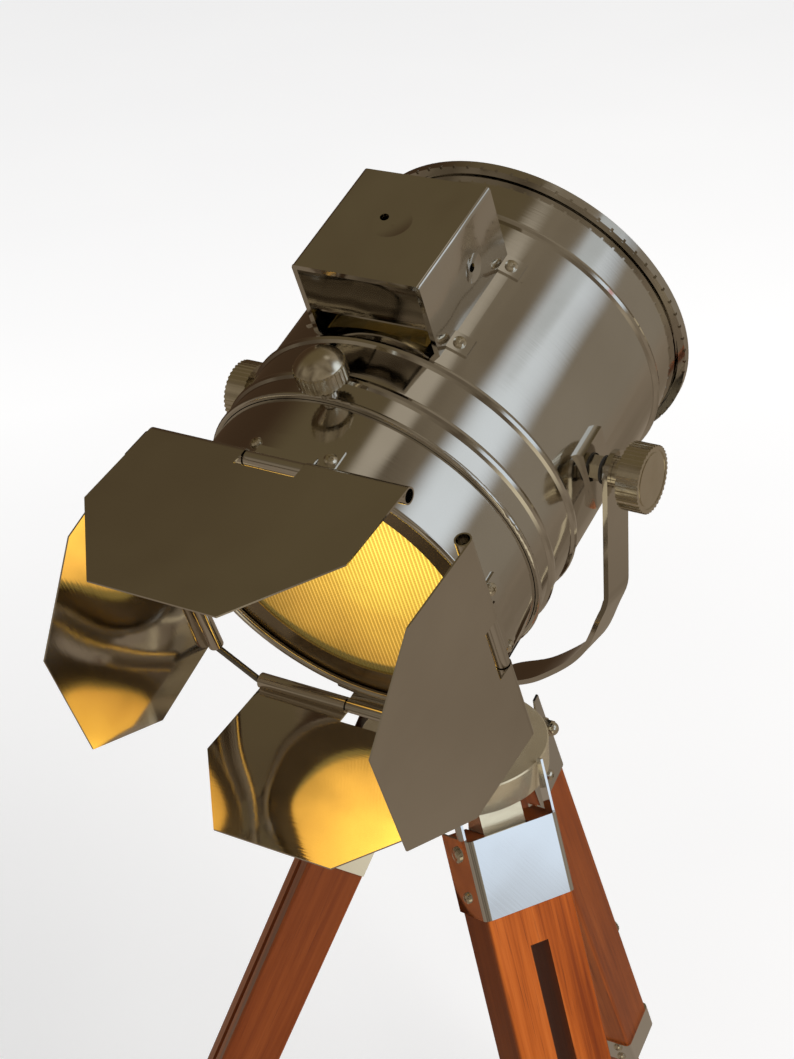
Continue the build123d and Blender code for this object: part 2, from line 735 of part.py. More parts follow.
def yoke():
    # A flat bar bent to a U in the XZ plane, rounded at both ends and drilled for the studs.
    x = (ARM_IN + ARM_OUT) / 2
    base = -YOKE_DROP + YOKE_T / 2
    drop = base + YOKE_STRAIGHT
    shares = [
        (0.957, 0.192), (0.881, 0.428), (0.794, 0.575), (0.66, 0.721), (0.551, 0.813), (0.374, 0.911),
    ]
    points = [(x, -YOKE_STRAIGHT)]
    points += [(x * a, -YOKE_STRAIGHT + drop * b) for a, b in shares]
    points += [(YOKE_FLAT, base)]
    path = Spline(*points, tangents=[(0, -1), (-1, 0)])
    right = []
    left = []
    count = 28
    for i in range(count + 1):
        p = path @ (i / count)
        d = path % (i / count)
        right.append((p.X - d.Y * YOKE_T / 2, p.Y + d.X * YOKE_T / 2))
        left.append((p.X + d.Y * YOKE_T / 2, p.Y - d.X * YOKE_T / 2))
    outer, inner = (right, left) if right[0][0] > left[0][0] else (left, right)
    tangents = [(0, -1), (-1, 0)]
    back = [(0, 1), (1, 0)]
    outer_curve = Spline(*outer, tangents=tangents)
    inner_curve = Spline(*inner[::-1], tangents=[back[1], back[0]])
    edge = [
        outer_curve,
        Line(outer[-1], (0, outer[-1][1])),
        Line((0, outer[-1][1]), (0, inner[-1][1])),
        Line((0, inner[-1][1]), inner[-1]),
        inner_curve,
        Line(inner[0], outer[0]),
    ]
    half = extrude(Plane.XZ * make_face(edge), YOKE_W / 2, both=True)
    arm = block(ARM_IN, ARM_OUT, -YOKE_W / 2, YOKE_W / 2, -YOKE_STRAIGHT, 0)
    end = rod_x(YOKE_W / 2, ARM_IN, ARM_OUT)
    half = half + arm + end
    shape = half + mirror(half, Plane.YZ)
    shape -= rod_x(STUD_R + RUN, -ARM_OUT * 2, ARM_OUT * 2)
    return shape - rod_z(PAN_R + RUN, -YOKE_DROP * 2, 0)


def hub_disc():
    # The tripod's top: a thick disc with a hinge lug under it for each leg.
    disc = Pos(0, 0, -DISC_DROP - DISC_T / 2) * Cylinder(DISC_R, DISC_T)
    disc = chamfer(disc.edges().group_by(Axis.Z)[-1], 0.8)
    hinge_r = BRACKET_R + HINGE_V * S - LEG_MID * C
    hinge_z = -DISC_BOTTOM - BRACKET_DROP - HINGE_V * C - LEG_MID * S
    low = hinge_z - LUG_R
    for azimuth in LEG_AZIMUTHS.values():
        web = make_face(Polyline(
            (LUG_BACK_R, -DISC_BOTTOM + 1), (DISC_R - 1.5, -DISC_BOTTOM + 1),
            (DISC_R - 1.5, -DISC_BOTTOM), (hinge_r + LUG_R * 0.8, hinge_z + LUG_R * 0.6),
            (hinge_r, hinge_z), (hinge_r, low), (LUG_BACK_R + 6, low),
            (LUG_BACK_R, low + 6), close=True,
        ))
        lug = extrude(Plane.XZ * web, LUG_W / 2, both=True)
        lug += rod_y(LUG_R, -LUG_W / 2, LUG_W / 2, hinge_r, hinge_z)
        lug -= rod_y(HINGE_BOLT_R + RUN, -LUG_W, LUG_W, hinge_r, hinge_z)
        disc += Rot(0, 0, azimuth) * lug
    return disc - rod_z(PAN_R + RUN, -DISC_DROP * 2, 0)


def pan_post():
    foot = -DISC_DROP
    top = -POST_TOP
    shape = turn_z([
        (PAN_R + RUN, foot), (POST_FOOT_R, foot), (POST_FOOT_R, foot + POST_FOOT_H),
        (POST_R, foot + POST_FOOT_H + 4), (POST_R, top), (PAN_R + RUN, top),
    ])
    return shape


def pan_washer():
    top = -YOKE_DROP - SEAT
    return rod_z(PAN_WASHER_R, top - PAN_WASHER_T, top) - rod_z(PAN_R + RUN, -YOKE_DROP * 2, 0)


def pan_bolt():
    seat = -YOKE_DROP + YOKE_T + SEAT
    head = turn_z([
        (0, seat), (PAN_HEAD_R, seat), (PAN_HEAD_R, seat + PAN_HEAD_H * 0.4),
        (PAN_HEAD_R * 0.6, seat + PAN_HEAD_H), (0, seat + PAN_HEAD_H),
    ])
    under = -DISC_BOTTOM
    shank = rod_z(PAN_R, under - PAN_NUT_T - 3, seat + 1)
    nut = hex_z(PAN_NUT_AF, under - PAN_NUT_T, under) - rod_z(PAN_R + RUN, -YOKE_DROP * 2, 0)
    return [head + shank, nut]


def hinge_hole():
    # The hole across the whole leg for its hinge pin.
    return rod_y(HINGE_BOLT_R + RUN, -LEG_W, LEG_W, -LEG_MID, -HINGE_V)


def leg_screw_places():
    # The bracket's side screws and the band's screws behind, each with Z out of the metal.
    places = []
    for side in (-1, 1):
        face = Pos(-LEG_MID, side * (LEG_W / 2 + PLATE_T), -SIDE_SCREW_V)
        places.append(face * Rot(-side * 90, 0, 0))
        for v in BAND_SCREW_V:
            places.append(Pos(-LEG_BACK - PLATE_T, side * BAND_SCREW_U, -v) * Rot(0, -90, 0))
    return places


def upper_leg():
    # Two rails joined at the top, with a notch there for the hinge lug.
    front = 1
    back = -LEG_BACK - 1
    shape = block(-LEG_BACK, -PLATE_T, -LEG_W / 2, LEG_W / 2, -LEG_END_V, -LEG_TOP_V)
    shape = fillet(shape.edges().filter_by(Axis.Z), LEG_ROUND)
    shape -= block(back, front, -SLOT_W / 2, SLOT_W / 2, -LEG_END_V - 1, -SLOT_V)
    room = LUG_W / 2 + SLIP
    shape -= block(back, front, -room, room, -LEG_TOP_V - NOTCH_D, 0)
    shape -= hinge_hole()
    for place in leg_screw_places():
        shape -= place * rod_z(SCREW_SHANK_R + RUN, -SCREW_BITE - PLATE_T - 1, 5)
    return shape


def leg_bracket(capped):
    # A bent plate over the leg's top: outer face, two sides and two thin ears above.
    half = LEG_W / 2 + PLATE_T
    shape = block(-LEG_BACK, 0, -half, half, -BRACKET_L, 0)
    shape = fillet(shape.edges().filter_by(Axis.Z).group_by(Axis.X)[-1], BRACKET_BEND)
    ear = make_face(Plane.XZ * Polyline(
        (-BRACKET_BEND, -1), (-BRACKET_BEND, EAR_RISE), (-BRACKET_BEND - EAR_TIP, EAR_RISE),
        (-BRACKET_BEND - EAR_DEPTH, EAR_RISE - EAR_TAPER), (-BRACKET_BEND - EAR_DEPTH, -1), close=True,
    ))
    shape += extrude(ear, half, both=True)
    core = block(-LEG_BACK - LEG_T, -PLATE_T, -LEG_W / 2, LEG_W / 2, -BRACKET_L - 1, EAR_RISE + 1)
    shape -= fillet(core.edges().filter_by(Axis.Z).group_by(Axis.X)[-1], LEG_ROUND)
    shape -= hinge_hole()
    for place in leg_screw_places():
        shape -= place * rod_z(SCREW_SHANK_R + RUN, -LEG_T / 2, 5)
    if capped:
        shape -= ear_stud_place() * rod_y(EAR_STUD_R + RUN, -LEG_W, 0)
    return shape


def ear_stud_place():
    return Pos(-BRACKET_BEND - EAR_DEPTH / 2, 0, EAR_STUD_UP)


def ear_stud():
    # A short stud through one ear: a flat head inside, a washer and a domed nut outside.
    inside = -LEG_W / 2
    outside = inside - PLATE_T
    tip = outside - EAR_WASHER_T - EAR_NUT_T
    stud = rod_y(EAR_STUD_R, tip, inside + EAR_HEAD_T)
    stud += rod_y(PIN_HEAD_R, inside, inside + EAR_HEAD_T)
    nut = rod_y(EAR_WASHER_R, outside - EAR_WASHER_T, outside)
    nut += hex_y(EAR_NUT_AF, tip, outside - EAR_WASHER_T / 2)
    nut += Pos(0, tip, 0) * Sphere(EAR_DOME_R)
    nut -= rod_y(EAR_STUD_R + RUN, tip - SEAT, 0)
    return [ear_stud_place() * stud, ear_stud_place() * nut]


def hinge_bolt():
    # The pin through bracket, leg and lug: a headed bolt and a round nut on its end.
    half = LEG_W / 2 + PLATE_T
    head, cap = [
        Pos(0, side * half, 0) * Rot(-side * 90, 0, 0) * low_dome(PIN_HEAD_R, PIN_HEAD_H)
        for side in (1, -1)
    ]
    reach = half + PIN_HEAD_H / 2
    bolt = head + rod_y(HINGE_BOLT_R, -reach, half + PIN_HEAD_H / 2)
    nut = cap - rod_y(HINGE_BOLT_R + RUN, -reach - SEAT, 0)
    place = Pos(-LEG_MID, 0, -HINGE_V)
    return [place * bolt, place * nut]


def leg_screws():
    return [place * pan_screw(SCREW_BITE + PLATE_T) for place in leg_screw_places()]


def end_band():
    # A flat ring of sheet round the leg's lower end.
    half = LEG_W / 2
    outer = block(-LEG_BACK - PLATE_T, 0, -half - PLATE_T, half + PLATE_T, -LEG_END_V, -BAND_V)
    outer = fillet(outer.edges().filter_by(Axis.Z), BRACKET_BEND)
    core = block(-LEG_BACK, -PLATE_T, -half, half, -LEG_END_V - 1, -BAND_V + 1)
    shape = outer - fillet(core.edges().filter_by(Axis.Z), LEG_ROUND)
    for place in leg_screw_places():
        shape -= place * rod_z(SCREW_SHANK_R + RUN, -LEG_T / 2, 5)
    return shape


def inner_leg_section(low, high):
    # The sliding lower leg's bar, which fits the slot of the upper one.
    half = SLOT_W / 2 - SLIP
    bar = block(-INNER_BACK, -INNER_FACE, -half, half, low, high)
    return fillet(bar.edges().filter_by(Axis.Z), INNER_ROUND)


def inner_leg():
    bar = inner_leg_section(-FLOOR_V + INNER_END_GAP, -INNER_TOP_V)
    return bar - rod_x(CLAMP_R + RUN, -LEG_BACK, 0, 0, -CLAMP_V)


def clamp_bolt():
    # Its head spans the slot behind the rails, and its shoulder meets the lower leg.
    seat = -LEG_BACK - SEAT
    shank = rod_x(CLAMP_R, seat - 1, CLAMP_OUT, 0, -CLAMP_V)
    shoulder = rod_x(SLOT_W / 2 - 2 * SLIP, seat - 1, -INNER_BACK, 0, -CLAMP_V)
    head = rod_x(CLAMP_HEAD_R, seat - CLAMP_HEAD_H, seat, 0, -CLAMP_V)
    return shank + shoulder + head


def clamp_knob():
    # Drawn along +Z from the leg's outer face, then laid over the bolt's end.
    flange = Pos(0, 0, CLAMP_FLANGE_T / 2) * Cylinder(CLAMP_KNOB_R * 0.8, CLAMP_FLANGE_T)
    grip = Pos(0, 0, CLAMP_FLANGE_T) * ribbed(
        CLAMP_KNOB_R, 30, 0.7, CLAMP_KNOB_L - CLAMP_FLANGE_T - 4
    )
    top = CLAMP_KNOB_L
    dome_r = (CLAMP_KNOB_R ** 2 + 16) / 8
    dome = Pos(0, 0, top - dome_r) * Sphere(dome_r)
    dome &= rod_z(CLAMP_KNOB_R - 0.8, top - 5, top + 1)
    bore = rod_z(CLAMP_R + RUN, -1, CLAMP_OUT + PLATE_T + 1)
    knob = flange + grip + dome - bore
    return Pos(-PLATE_T + SEAT, 0, -CLAMP_V) * Rot(0, 90, 0) * knob


def foot():
    # A rubber boot over the lower leg's end.
    half = SLOT_W / 2 - SLIP + FOOT_WALL
    end = -FLOOR_V + INNER_END_GAP
    outer = block(
        -INNER_BACK - FOOT_WALL, -INNER_FACE + FOOT_WALL, -half, half,
        end - 2 * INNER_END_GAP, end + FOOT_H,
    )
    outer = fillet(outer.edges().filter_by(Axis.Z), FOOT_WALL)
    return outer - inner_leg_section(end, end + FOOT_H + 1)


def above_floor(shape):
    return shape - block(-2 * FLOOR_V, 2 * FLOOR_V, -2 * FLOOR_V, 2 * FLOOR_V, -FLOOR_V, 0)


def main():
    os.makedirs("parts", exist_ok=True)

    save("hub_disc", [YOKE * hub_disc()])
    save("pan_post", [YOKE * pan_post()])
    save("pan_bolt", [YOKE * piece for piece in pan_bolt()])
    save("pan_washer", [YOKE * pan_washer()])
    save("yoke", [YOKE * yoke()])
    save("tilt_knob_right", [YOKE * Pos(KNOB_IN, 0, 0) * Rot(0, 90, 0) * tilt_knob()])
    save("tilt_knob_left", [YOKE * Pos(-KNOB_IN, 0, 0) * Rot(0, -90, 0) * tilt_knob()])

    save("drum_shell", [HEAD * drum_shell()])
    save("rear_cap", [HEAD * rear_cap()])
    save("vent_box", [HEAD * vent_box()])
    save("vent_baffle", [HEAD * vent_baffle()])
    save("bottom_vent", [HEAD * bottom_vent()])
    save("vent_screws", [HEAD * piece for piece in vent_screws()])
    save("pivot_plates", [HEAD * piece for piece in pivot_plates()])
    save("pivot_studs", [HEAD * piece for piece in pivot_studs()])
    save("pivot_nuts", [HEAD * piece for piece in pivot_nuts()])
    save("pivot_washers", [HEAD * piece for piece in pivot_washers()])
    save("reflector", [HEAD * reflector()])
    save("lamp_holder", [HEAD * lamp_holder()])
    save("bulb", [HEAD * bulb()])
    save("cable_gland", [HEAD * cable_gland()])
    save("thumb_screw", [HEAD * thumb_screw()])

    save("barrel", [HEAD * barrel()])
    save("bezel_ring", [HEAD * bezel_ring()])
    save("lens", [HEAD * lens()])
    save("lens_retainer", [HEAD * lens_retainer()])
    save("hinge_frame", [HEAD * hinge_frame()])
    save("hinge_clips", [HEAD * piece for piece in hinge_clips()])
    save("clip_screws", [HEAD * piece for piece in clip_screws()])
    for name in LEAF_TURNS:
        save("leaf_" + name, [HEAD * place_leaf(name)])

    for tag, azimuth in LEG_AZIMUTHS.items():
        frame = leg_frame(azimuth)
        save("upper_leg_" + tag, [frame * upper_leg()])
        capped = tag == CAPPED_LEG
        studs = hinge_bolt() + (ear_stud() if capped else [])
        save("leg_bracket_" + tag, [frame * leg_bracket(capped)])
        save("hinge_bolt_" + tag, [frame * piece for piece in studs])
        save("bracket_screws_" + tag, [frame * piece for piece in leg_screws()])
        save("end_band_" + tag, [frame * end_band()])
        save("inner_leg_" + tag, [frame * inner_leg()])
        save("clamp_bolt_" + tag, [frame * clamp_bolt()])
        save("clamp_knob_" + tag, [frame * clamp_knob()])
        save("foot_" + tag, [above_floor(frame * foot())])

    print("pivot height", round(PIVOT_Z, 2), "bracket height", round(BRACKET_Z, 2))
    print("yoke arm faces", round(ARM_IN, 2), round(ARM_OUT, 2), "knob face", round(KNOB_OUT, 2))


main()
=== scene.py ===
import math
import bpy
import bmesh
from mathutils import Matrix, Vector


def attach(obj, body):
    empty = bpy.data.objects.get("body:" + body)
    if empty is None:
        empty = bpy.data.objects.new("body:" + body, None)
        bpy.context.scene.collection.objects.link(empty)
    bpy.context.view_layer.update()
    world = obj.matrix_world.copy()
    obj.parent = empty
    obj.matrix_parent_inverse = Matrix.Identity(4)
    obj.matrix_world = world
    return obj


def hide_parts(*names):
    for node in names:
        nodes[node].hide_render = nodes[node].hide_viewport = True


# A chromed drum spotlight with barn doors on a wooden tripod.
# Metres, in the CAD model's frame: origin on the floor under the tripod, nose towards -Y.

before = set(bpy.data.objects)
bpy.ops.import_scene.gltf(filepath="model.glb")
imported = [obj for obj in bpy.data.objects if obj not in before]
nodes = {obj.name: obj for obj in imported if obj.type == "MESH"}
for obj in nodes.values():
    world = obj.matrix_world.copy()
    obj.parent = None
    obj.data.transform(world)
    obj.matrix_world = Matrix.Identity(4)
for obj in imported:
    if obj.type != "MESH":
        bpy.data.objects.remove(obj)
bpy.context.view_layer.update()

# Places repeated from the CAD source
TILT = math.radians(20.5)
SPLAY = math.radians(23.4)
PIVOT = Vector((0.0, 0.0, 0.95323))
BRACKET_R = 0.072
BRACKET_Z = 0.72523
LEG_AZIMUTHS = {"a": -151.5, "b": -31.5, "c": 92.4}
LENS_R = 0.0854
LENS_FRONT = -0.1133
LENS_BACK = -0.1093

# Lens: its ribs, and its glow with the brightest point at HOT_SPOT in both x and z
RIB_PITCH = 0.00256
RIB_DEPTH = 0.00055
RIB_MARGIN = 0.0004
HATCH_PITCH = 0.0017
HOT_SPOT = 0.034
HOT_REACH = 0.125
SHADOW_EDGE = (0.0765, 0.0790)
GLOW_DEPTH = (0.0015, 0.0025)
MIRRORED_GLOW = 2.8

# Camera, fitted to the perspective of the photograph: azimuth, elevation and roll in degrees
CAMERA_PLACE = (0.5881, -0.9456, 1.5002)
CAMERA_ANGLES = (33.21, 28.6, -3.7)
CAMERA_FOCAL_PIXELS = 2201.1
FRAME_HEIGHT_PIXELS = 1059.0
SENSOR = 36.0

# Studio: AMBIENT is how much of the world's light falls on the object
FLOOR_R = 24.0
ROOM_R = 5.0
ROOM_CENTRE_Z = 0.95
ROOM_FLOOR_Z = 0.004
AMBIENT = 0.37
LAMP_TARGET = Vector((0.0, 0.0, 0.6))

# The frames of the head and of a leg, as matrices
HEAD = Matrix.Translation(PIVOT) @ Matrix.Rotation(TILT, 4, "X")


def leg_matrix(tag):
    turn = Matrix.Rotation(math.radians(LEG_AZIMUTHS[tag]), 4, "Z")
    return turn @ Matrix.Translation((BRACKET_R, 0, BRACKET_Z)) @ Matrix.Rotation(-SPLAY, 4, "Y")


# Small helpers that write node trees
class Paint:
    def __init__(self, name):
        self.mat = bpy.data.materials.new(name)
        self.mat.use_nodes = True
        self.tree = self.mat.node_tree
        self.shader = self.tree.nodes["Principled BSDF"]
        self.object = self.tree.nodes.new("ShaderNodeTexCoord").outputs["Object"]

    def node(self, kind, **settings):
        made = self.tree.nodes.new(kind)
        for key, value in settings.items():
            setattr(made, key, value)
        return made

    def link(self, value, socket):
        if isinstance(value, bpy.types.NodeSocket):
            self.tree.links.new(value, socket)
        else:
            socket.default_value = value

    def local(self, matrix):
        # Object coordinates seen from a tilted frame.
        place, turn, _ = matrix.decompose()
        back = self.node("ShaderNodeMapping", vector_type="TEXTURE")
        self.link(self.object, back.inputs["Vector"])
        back.inputs["Location"].default_value = place
        back.inputs["Rotation"].default_value = turn.to_euler("XYZ")
        return back.outputs["Vector"]

    def stretch(self, vector, scale):
        wide = self.node("ShaderNodeMapping")
        self.link(vector, wide.inputs["Vector"])
        wide.inputs["Scale"].default_value = scale
        return wide.outputs["Vector"]

    def noise(self, vector, scale, detail=3.0, rough=0.5, distort=0.0):
        made = self.node("ShaderNodeTexNoise")
        self.link(vector, made.inputs["Vector"])
        made.inputs["Scale"].default_value = scale
        made.inputs["Detail"].default_value = detail
        made.inputs["Roughness"].default_value = rough
        made.inputs["Distortion"].default_value = distort
        return made.outputs["Fac"]

    def math(self, operation, a, b=0.0):
        made = self.node("ShaderNodeMath", operation=operation)
        self.link(a, made.inputs[0])
        self.link(b, made.inputs[1])
        return made.outputs["Value"]

    def reach(self, a, b):
        # Distance from zero of a point in a plane.
        squares = self.math("ADD", self.math("MULTIPLY", a, a), self.math("MULTIPLY", b, b))
        return self.math("SQRT", squares)

    def parts(self, vector):
        made = self.node("ShaderNodeSeparateXYZ")
        self.link(vector, made.inputs["Vector"])
        return made.outputs["X"], made.outputs["Y"], made.outputs["Z"]

    def spread(self, value, low, high, to_low=0.0, to_high=1.0):
        made = self.node("ShaderNodeMapRange")
        self.link(value, made.inputs["Value"])
        made.inputs["From Min"].default_value = low
        made.inputs["From Max"].default_value = high
        made.inputs["To Min"].default_value = to_low
        made.inputs["To Max"].default_value = to_high
        return made.outputs["Result"]

    def ramp(self, value, stops):
        made = self.node("ShaderNodeValToRGB")
        self.link(value, made.inputs["Fac"])
        band = made.color_ramp
        while len(band.elements) < len(stops):
            band.elements.new(0.5)
        for element, (position, colour) in zip(band.elements, stops):
            element.position = position
            element.color = (*colour, 1.0)
        return made.outputs["Color"]

    def mix(self, factor, a, b):
        made = self.node("ShaderNodeMix", data_type="RGBA")
        self.link(factor, made.inputs["Factor"])
        self.link(a if isinstance(a, bpy.types.NodeSocket) else (*a, 1.0), made.inputs[6])
        self.link(b if isinstance(b, bpy.types.NodeSocket) else (*b, 1.0), made.inputs[7])
        return made.outputs[2]

    def bump(self, height, strength, distance, normal=None):
        made = self.node("ShaderNodeBump")
        self.link(height, made.inputs["Height"])
        made.inputs["Strength"].default_value = strength
        made.inputs["Distance"].default_value = distance
        if normal is not None:
            self.link(normal, made.inputs["Normal"])
        return made.outputs["Normal"]

    def put(self, **inputs):
        names = {
            "colour": "Base Color", "metal": "Metallic", "rough": "Roughness", "normal": "Normal",
            "coat": "Coat Weight", "coat_rough": "Coat Roughness", "ior": "IOR",
            "glow": "Emission Color", "glow_strength": "Emission Strength",
        }
        for key, value in inputs.items():
            if isinstance(value, tuple):
                value = (*value, 1.0)
            self.link(value, self.shader.inputs[names[key]])
        return self.mat


def sheet_metal(name, low, high, rough, wave=0.0007, smudge=0.10, lines=0.25, size=13.0):
    # Polished sheet: slow dents, faint polishing lines and patches of duller shine.
    p = Paint(name)
    v = p.local(HEAD)
    patch = p.noise(v, 9.0, 4.0, 0.55, 0.4)
    fine = p.noise(v, 60.0, 3.0, 0.6)
    streak = p.noise(p.stretch(v, (40.0, 900.0, 40.0)), 1.0, 2.0, 0.5)
    colour = p.ramp(patch, [(0.30, low), (0.70, high)])
    shine = p.spread(patch, 0.35, 0.75, rough, rough + smudge)
    shine = p.math("ADD", shine, p.spread(fine, 0.4, 0.8, 0.0, smudge * 0.35))
    dents = p.noise(v, size, 1.0, 0.35, 0.2)
    normal = p.bump(dents, 1.0, wave)
    normal = p.bump(streak, lines, 0.00004, normal)
    return p.put(colour=colour, metal=1.0, rough=shine, normal=normal)


def solid_metal(name, low, high, rough):
    # Turned or cast metal: small tone changes, fingermarks and a fine grain.
    p = Paint(name)
    tone = p.noise(p.object, 35.0, 4.0, 0.6)
    fine = p.noise(p.object, 300.0, 3.0, 0.6)
    colour = p.ramp(tone, [(0.32, low), (0.68, high)])
    shine = p.spread(tone, 0.35, 0.7, rough, rough + 0.12)
    normal = p.bump(fine, 0.35, 0.00003)
    return p.put(colour=colour, metal=1.0, rough=shine, normal=normal)


def brushed_disc():
    # Satin brass-toned disc with lines that run round its axis.
    p = Paint("disc_metal")
    x, y, z = p.parts(p.object)
    radius = p.reach(x, y)
    around = p.node("ShaderNodeCombineXYZ")
    p.link(p.math("MULTIPLY", radius, 900.0), around.inputs["X"])
    p.link(p.math("MULTIPLY", z, 900.0), around.inputs["Y"])
    lines = p.noise(around.outputs["Vector"], 1.0, 2.0, 0.5)
    tone = p.noise(p.object, 30.0, 3.0, 0.5)
    colour = p.ramp(tone, [(0.3, (0.66, 0.57, 0.40)), (0.7, (0.78, 0.69, 0.50))])
    normal = p.bump(lines, 0.4, 0.00005)
    shine = p.spread(lines, 0.3, 0.7, 0.16, 0.28)
    return p.put(colour=colour, metal=0.78, rough=shine, normal=normal)


def wood(tag):
    # Varnished orange-brown hardwood with straight grain along the leg, and painted shade that darkens
    # its side faces.
    p = Paint("wood_" + tag)
    leg = leg_matrix(tag)
    v = p.local(leg)
    slow = p.noise(p.stretch(v, (38.0, 38.0, 2.2)), 1.0, 4.0, 0.5, 0.7)
    strand = p.noise(p.stretch(v, (300.0, 300.0, 7.0)), 1.0, 4.0, 0.6, 0.3)
    pore = p.noise(p.stretch(v, (1300.0, 1300.0, 24.0)), 1.0, 2.0, 0.5)
    grain = p.math("ADD", p.math("MULTIPLY", slow, 0.6), p.math("MULTIPLY", strand, 0.4))
    colour = p.ramp(grain, [
        (0.36, (0.140, 0.024, 0.002)),
        (0.46, (0.250, 0.050, 0.004)),
        (0.55, (0.335, 0.075, 0.008)),
        (0.66, (0.425, 0.108, 0.016)),
    ])
    dark = p.spread(pore, 0.61, 0.74, 0.0, 0.75)
    colour = p.mix(dark, colour, (0.075, 0.014, 0.004))
    # Painted shade: faces turned away from the leg's outward axis are mixed toward a dark brown,
    # standing in for the side away from the light.
    face = p.node("ShaderNodeNewGeometry")
    turned = p.node("ShaderNodeVectorMath", operation="DOT_PRODUCT")
    p.link(face.outputs["Normal"], turned.inputs[0])
    turned.inputs[1].default_value = leg.to_3x3() @ Vector((1.0, 0.0, 0.0))
    painted_side_shade = p.spread(p.math("ABSOLUTE", turned.outputs["Value"]), 0.85, 0.55, 0.0, 0.60)
    colour = p.mix(painted_side_shade, colour, (0.110, 0.020, 0.003))
    height = p.math("SUBTRACT", p.math("MULTIPLY", strand, 0.5), p.math("MULTIPLY", dark, 0.7))
    normal = p.bump(height, 0.30, 0.00010)
    shine = p.spread(slow, 0.3, 0.7, 0.34, 0.46)
    return p.put(colour=colour, rough=shine, normal=normal, ior=1.33, coat=0.12, coat_rough=0.12)


def plain_paint(name, low, high, rough, grain, depth):
    # Paint, rubber or ceramic: slow tone changes and a fine grain.
    p = Paint(name)
    tone = p.noise(p.object, 40.0, 4.0, 0.6)
    fine = p.noise(p.object, grain, 3.0, 0.6)
    colour = p.ramp(tone, [(0.3, low), (0.7, high)])
    shine = p.spread(fine, 0.3, 0.7, rough - 0.06, rough + 0.08)
    return p.put(colour=colour, rough=shine, normal=p.bump(fine, 0.4, depth))


def glowing_lens():
    # Amber patterned glass, lit from behind and brightest towards its upper right. The back face
    # is dark, and metal mirrors the lens brighter than the camera sees it.
    p = Paint("lens_amber")
    v = p.local(HEAD)
    x, y, z = p.parts(v)
    away = p.reach(p.math("SUBTRACT", x, HOT_SPOT), p.math("SUBTRACT", z, HOT_SPOT))
    cloud = p.noise(v, 26.0, 3.0, 0.5)
    away = p.math("ADD", away, p.spread(cloud, 0.3, 0.7, -0.010, 0.010))
    colour = p.ramp(p.spread(away, 0.0, HOT_REACH), [
        (0.06, (0.98, 0.68, 0.105)),
        (0.26, (0.86, 0.58, 0.085)),
        (0.48, (0.62, 0.38, 0.058)),
        (0.80, (0.44, 0.25, 0.042)),
        (1.00, (0.26, 0.15, 0.026)),
    ])
    rib = p.math("SINE", p.math("MULTIPLY", x, 2.0 * math.pi / RIB_PITCH))
    cross = p.math("SINE", p.math("MULTIPLY", z, 2.0 * math.pi / HATCH_PITCH))
    wave = p.math("ADD", p.math("MULTIPLY", rib, 0.80), p.math("MULTIPLY", cross, 0.20))
    lined = p.mix(p.spread(wave, -1.0, 1.0), (0.62, 0.56, 0.40), (1.14, 1.12, 1.25))
    product = p.node("ShaderNodeMix", data_type="RGBA", blend_type="MULTIPLY")
    product.inputs["Factor"].default_value = 1.0
    p.link(colour, product.inputs[6])
    p.link(lined, product.inputs[7])
    glow = product.outputs[2]
    # The cup shades the rim, more so at the bottom.
    rim = p.math("SUBTRACT", p.reach(x, z), p.math("MULTIPLY", z, 0.09))
    glow = p.mix(p.spread(rim, *SHADOW_EDGE), glow, (0.055, 0.042, 0.012))
    behind = p.spread(y, LENS_FRONT + GLOW_DEPTH[0], LENS_FRONT + GLOW_DEPTH[1])
    glow = p.mix(behind, glow, (0.020, 0.013, 0.003))
    glossy = p.node("ShaderNodeLightPath").outputs["Is Glossy Ray"]
    mirrored = p.spread(glossy, 0.0, 1.0, 1.0, MIRRORED_GLOW)
    brighter = p.node("ShaderNodeVectorMath", operation="SCALE")
    p.link(glow, brighter.inputs[0])
    p.link(mirrored, brighter.inputs["Scale"])
    return p.put(
        colour=(0.18, 0.11, 0.015), rough=0.16, coat=0.6, coat_rough=0.08,
        glow=brighter.outputs["Vector"], glow_strength=1.3,
    )


def lit_bulb():
    # Frosted glass, lit and slightly cloudy.
    p = Paint("bulb_frosted")
    v = p.local(HEAD)
    cloud = p.noise(v, 45.0, 3.0, 0.5)
    glow = p.ramp(cloud, [(0.3, (1.0, 0.78, 0.42)), (0.7, (1.0, 0.88, 0.60))])
    fine = p.noise(v, 900.0, 2.0, 0.5)
    return p.put(
        colour=(0.92, 0.88, 0.78), rough=0.35, glow=glow, glow_strength=1.0,
        normal=p.bump(fine, 0.2, 0.00003),
    )


def finish_nodes(material, names):
    for name in names:
        node = nodes[name]
        node.data.materials.clear()
        node.data.materials.append(material)


def mesh_object(name, mesh_data, material, smooth_angle=None):
    mesh = bpy.data.meshes.new(name)
    mesh_data.normal_update()
    mesh_data.to_mesh(mesh)
    mesh_data.free()
    made = bpy.data.objects.new(name, mesh)
    bpy.context.scene.collection.objects.link(made)
    mesh.materials.append(material)
    if smooth_angle is not None:
        mesh.shade_smooth()
        mesh.set_sharp_from_angle(angle=math.radians(smooth_angle))
    return made


